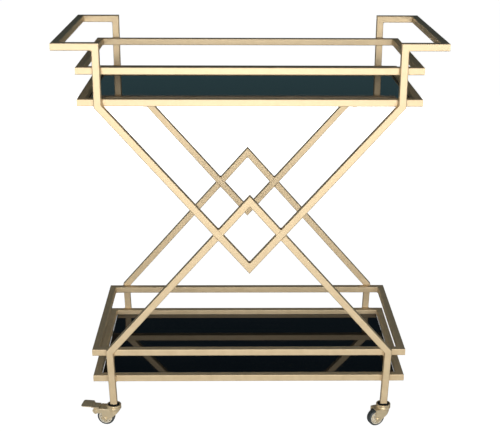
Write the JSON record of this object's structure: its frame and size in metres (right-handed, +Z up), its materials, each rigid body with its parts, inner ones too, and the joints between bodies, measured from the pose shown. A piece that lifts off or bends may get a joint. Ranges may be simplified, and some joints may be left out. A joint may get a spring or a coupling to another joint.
{
  "type": "bar cart",
  "caption": "Bar cart with upper and lower black glass shelves in railed trays, a square-tube frame with crossed diamond side braces, end handles and small swivel casters with toe brakes.",
  "frame": {"origin": "on the floor, under the middle of the cart", "axes": "+X along the cart towards the right-hand handle, +Y from the front to the back, +Z up"},
  "size_m": [0.781, 0.4222, 0.839],
  "materials": {
    "gold_tube": "satin metallic gold paint",
    "gold_caster": "satin metallic gold lacquer on pressed steel",
    "black_glass": "polished opaque black",
    "wheel_centre": "moulded cream plastic",
    "wheel_tread": "matt grey rubber"
  },
  "bodies": {
    "cart_frame": {"upper_gallery_front_rail": "gold_tube", "upper_gallery_rear_rail": "gold_tube", "upper_gallery_left_rail": "gold_tube", "upper_gallery_right_rail": "gold_tube", "upper_shelf_front_rail": "gold_tube", "upper_shelf_rear_rail": "gold_tube", "upper_shelf_left_rail": "gold_tube", "upper_shelf_right_rail": "gold_tube", "lower_gallery_front_rail": "gold_tube", "lower_gallery_rear_rail": "gold_tube", "lower_gallery_left_rail": "gold_tube", "lower_gallery_right_rail": "gold_tube", "lower_shelf_front_rail": "gold_tube", "lower_shelf_rear_rail": "gold_tube", "lower_shelf_left_rail": "gold_tube", "lower_shelf_right_rail": "gold_tube", "handle_arm_front_left": "gold_tube", "post_front_left": "gold_tube", "falling_brace_front_left": "gold_tube", "rising_brace_front_left": "gold_tube", "leg_front_left": "gold_tube", "handle_arm_front_right": "gold_tube", "post_front_right": "gold_tube", "falling_brace_front_right": "gold_tube", "rising_brace_front_right": "gold_tube", "leg_front_right": "gold_tube", "handle_arm_rear_left": "gold_tube", "post_rear_left": "gold_tube", "falling_brace_rear_left": "gold_tube", "rising_brace_rear_left": "gold_tube", "leg_rear_left": "gold_tube", "handle_arm_rear_right": "gold_tube", "post_rear_right": "gold_tube", "falling_brace_rear_right": "gold_tube", "rising_brace_rear_right": "gold_tube", "leg_rear_right": "gold_tube", "handle_bar_left": "gold_tube", "handle_bar_right": "gold_tube", "upper_glass": "black_glass", "lower_glass": "black_glass", "glass_tabs": "gold_tube", "caster_stems": "gold_caster"},
    "swivel_front_left": {"fork_front_left": "gold_caster", "axle_front_left": "gold_caster"},
    "wheel_front_left": {"hub_front_left": "wheel_centre", "tyre_front_left": "wheel_tread"},
    "brake_front_left": {"brake_pedal_front_left": "gold_caster"},
    "swivel_front_right": {"fork_front_right": "gold_caster", "axle_front_right": "gold_caster"},
    "wheel_front_right": {"hub_front_right": "wheel_centre", "tyre_front_right": "wheel_tread"},
    "swivel_rear_left": {"fork_rear_left": "gold_caster", "axle_rear_left": "gold_caster"},
    "wheel_rear_left": {"hub_rear_left": "wheel_centre", "tyre_rear_left": "wheel_tread"},
    "brake_rear_left": {"brake_pedal_rear_left": "gold_caster"},
    "swivel_rear_right": {"fork_rear_right": "gold_caster", "axle_rear_right": "gold_caster"},
    "wheel_rear_right": {"hub_rear_right": "wheel_centre", "tyre_rear_right": "wheel_tread"}
  },
  "joints": [
    {"name": "swivel_turn_front_left", "type": "hinge", "parent": "cart_frame", "child": "swivel_front_left", "pos_m": [-0.295, -0.1895, 0.0442], "axis": [0, 0, 1], "continuous": true},
    {"name": "wheel_roll_front_left", "type": "hinge", "parent": "swivel_front_left", "child": "wheel_front_left", "pos_m": [-0.31258, -0.18672, 0.019], "axis": [0.1564, 0.9877, 0], "continuous": true},
    {"name": "brake_press_front_left", "type": "hinge", "parent": "swivel_front_left", "child": "brake_front_left", "pos_m": [-0.33391, -0.18334, 0.0338], "axis": [-0.1564, -0.9877, 0], "range_deg": [0, 18]},
    {"name": "swivel_turn_front_right", "type": "hinge", "parent": "cart_frame", "child": "swivel_front_right", "pos_m": [0.295, -0.1895, 0.0442], "axis": [0, 0, 1], "continuous": true},
    {"name": "wheel_roll_front_right", "type": "hinge", "parent": "swivel_front_right", "child": "wheel_front_right", "pos_m": [0.2785, -0.19617, 0.019], "axis": [-0.3746, 0.9272, 0], "continuous": true},
    {"name": "swivel_turn_rear_left", "type": "hinge", "parent": "cart_frame", "child": "swivel_rear_left", "pos_m": [-0.295, 0.1895, 0.0442], "axis": [0, 0, 1], "continuous": true},
    {"name": "wheel_roll_rear_left", "type": "hinge", "parent": "swivel_rear_left", "child": "wheel_rear_left", "pos_m": [-0.31258, 0.18672, 0.019], "axis": [-0.1564, 0.9877, 0], "continuous": true},
    {"name": "brake_press_rear_left", "type": "hinge", "parent": "swivel_rear_left", "child": "brake_rear_left", "pos_m": [-0.33391, 0.18334, 0.0338], "axis": [0.1564, -0.9877, 0], "range_deg": [0, 18]},
    {"name": "swivel_turn_rear_right", "type": "hinge", "parent": "cart_frame", "child": "swivel_rear_right", "pos_m": [0.295, 0.1895, 0.0442], "axis": [0, 0, 1], "continuous": true},
    {"name": "wheel_roll_rear_right", "type": "hinge", "parent": "swivel_rear_right", "child": "wheel_rear_right", "pos_m": [0.2785, 0.19617, 0.019], "axis": [0.3746, 0.9272, 0], "continuous": true}
  ]
}
